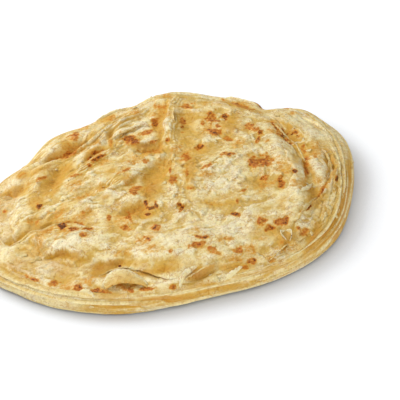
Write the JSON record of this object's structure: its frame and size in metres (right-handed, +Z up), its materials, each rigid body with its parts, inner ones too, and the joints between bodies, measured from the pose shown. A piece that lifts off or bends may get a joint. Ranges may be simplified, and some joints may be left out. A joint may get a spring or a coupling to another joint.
{
  "type": "flaky layered flatbread",
  "caption": "Round pan-fried flaky flatbread with a folded, browned top, a coiled layered rim and a flat underside.",
  "frame": {"origin": "middle of the bread's flat underside, on the table", "axes": "+Z up out of the browned face, +X towards the side where the last wrap is broadest and highest, -Y towards the picture's viewer"},
  "size_m": [0.2099, 0.1993, 0.021],
  "materials": {
    "fried_dough": "satin"
  },
  "bodies": {
    "root": {"chapati": "fried_dough"}
  },
  "joints": []
}
